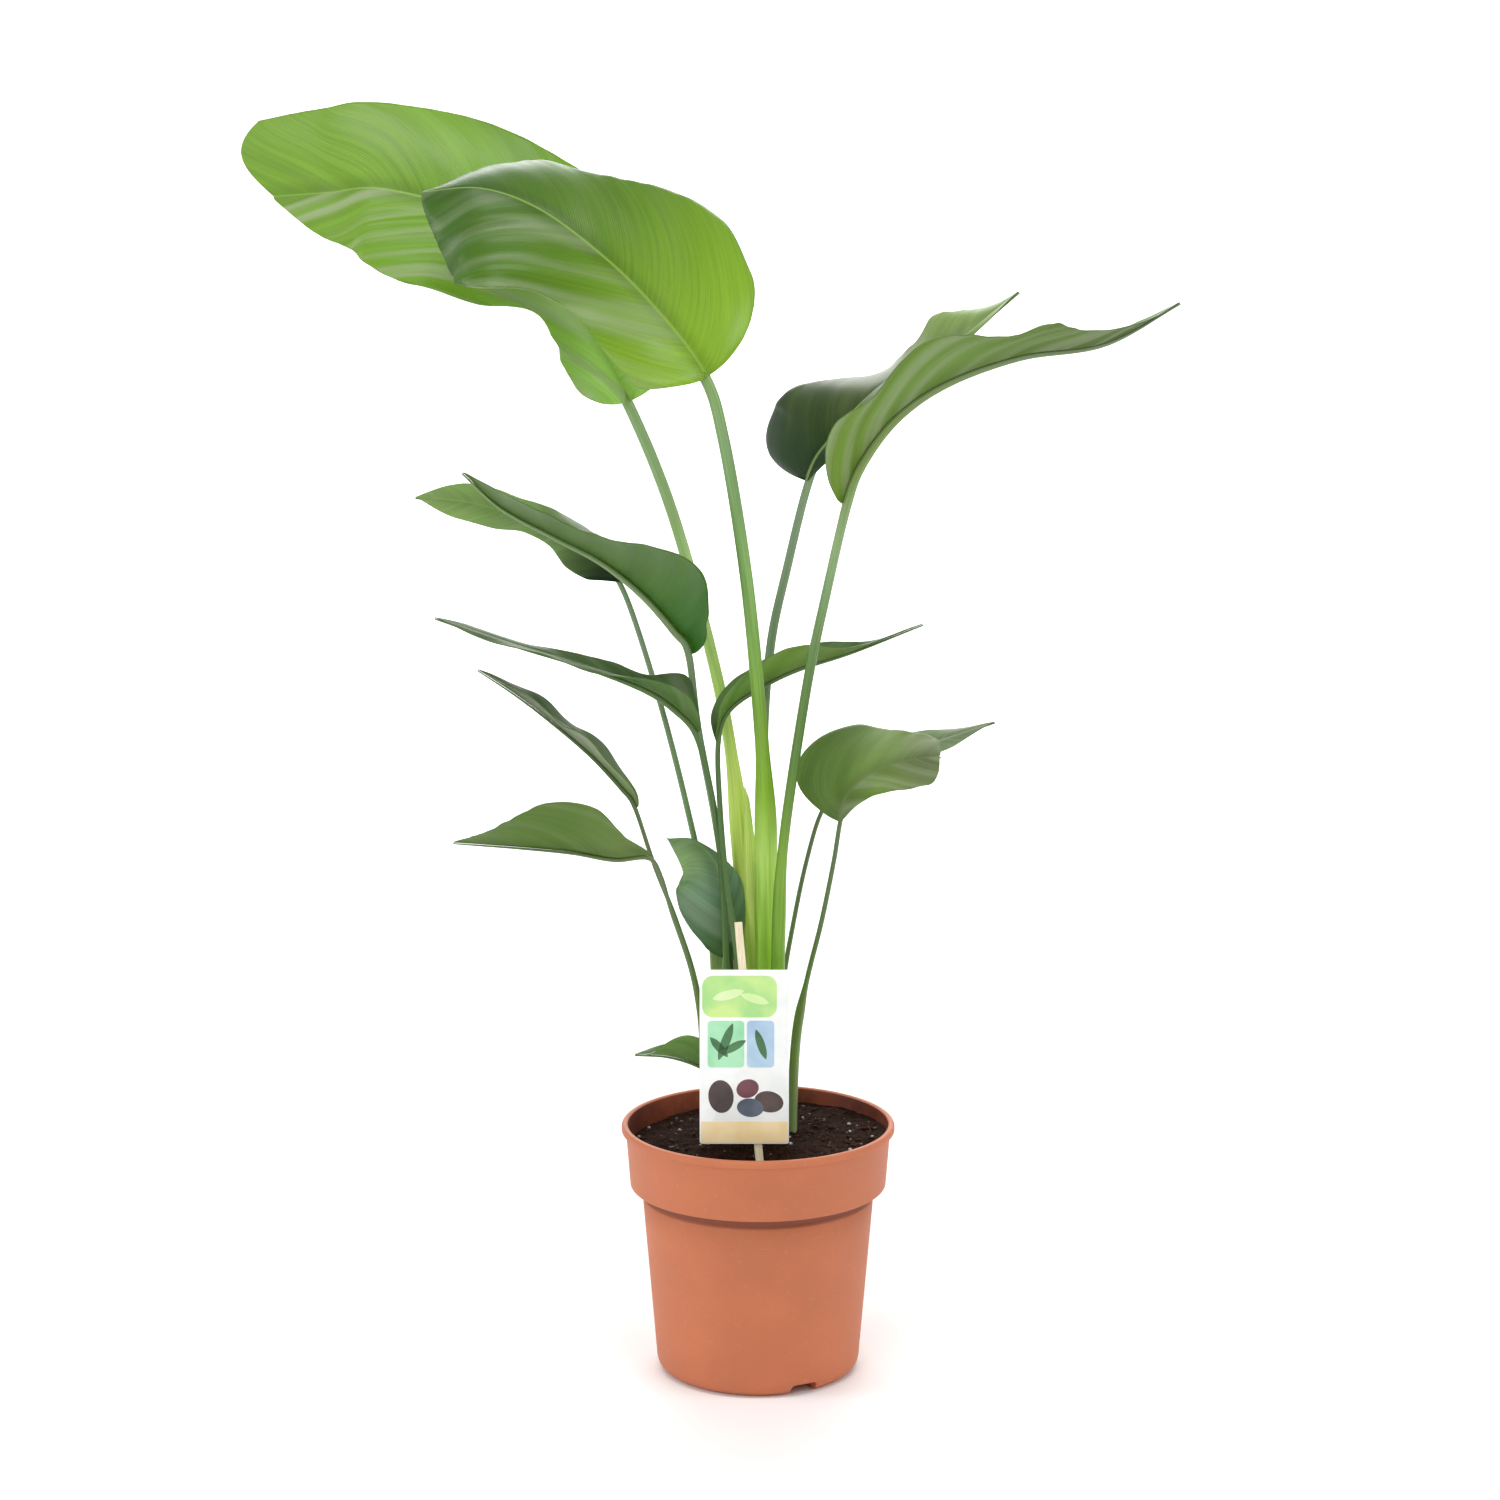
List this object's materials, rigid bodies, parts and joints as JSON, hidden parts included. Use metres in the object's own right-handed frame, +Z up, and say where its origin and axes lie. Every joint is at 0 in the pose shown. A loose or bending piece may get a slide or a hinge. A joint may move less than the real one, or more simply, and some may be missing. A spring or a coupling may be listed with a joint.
{
  "type": "potted giant white bird of paradise",
  "caption": "Upright foliage plant with broad paddle-shaped leaves on long stalks, in a terracotta-coloured plastic nursery pot of soil with a plain label card on a stick.",
  "frame": {"origin": "middle of the pot's underside, on the surface it stands on", "axes": "+Z up; -Y towards the front, where the label card faces; +X to the right seen from the front"},
  "size_m": [0.6966, 0.2293, 0.9649],
  "materials": {
    "terracotta_plastic": "satin, thin-walled moulded plastic",
    "potting_soil": "loose and matt, with pale flecks",
    "root_flesh": "matt",
    "coated_card": "smooth, slight gloss",
    "pale_wood": "bare, matt",
    "young_leaf": "satin, waxy, ribbed across",
    "pale_leaf": "satin, waxy, pale underside",
    "green_leaf": "satin, waxy, ribbed across",
    "deep_leaf": "satin, waxy, ribbed across",
    "blue_green_leaf": "satin, waxy, greyish bloom",
    "leaf_stalk": "satin, smooth"
  },
  "bodies": {
    "root": {"pot": "terracotta_plastic", "soil": "potting_soil", "rootstock": "root_flesh", "label_card": "coated_card", "label_stick": "pale_wood", "leaf_top_left_blade": "young_leaf", "leaf_top_left_stalk": "leaf_stalk", "leaf_top_front_blade": "young_leaf", "leaf_top_front_stalk": "leaf_stalk", "leaf_upper_right_blade": "pale_leaf", "leaf_upper_right_stalk": "leaf_stalk", "leaf_upper_right_back_blade": "deep_leaf", "leaf_upper_right_back_stalk": "leaf_stalk", "leaf_middle_right_blade": "green_leaf", "leaf_middle_right_stalk": "leaf_stalk", "leaf_upper_left_blade": "deep_leaf", "leaf_upper_left_stalk": "leaf_stalk", "leaf_upper_left_back_blade": "green_leaf", "leaf_upper_left_back_stalk": "leaf_stalk", "leaf_middle_left_blade": "green_leaf", "leaf_middle_left_stalk": "leaf_stalk", "leaf_low_left_upper_blade": "green_leaf", "leaf_low_left_upper_stalk": "leaf_stalk", "leaf_low_left_blade": "green_leaf", "leaf_low_left_stalk": "leaf_stalk", "leaf_centre_small_blade": "blue_green_leaf", "leaf_centre_small_stalk": "leaf_stalk", "leaf_low_right_blade": "green_leaf", "leaf_low_right_stalk": "leaf_stalk", "leaf_low_right_back_blade": "green_leaf", "leaf_low_right_back_stalk": "leaf_stalk", "leaf_soil_left_blade": "green_leaf", "leaf_soil_left_stalk": "leaf_stalk"}
  },
  "joints": []
}
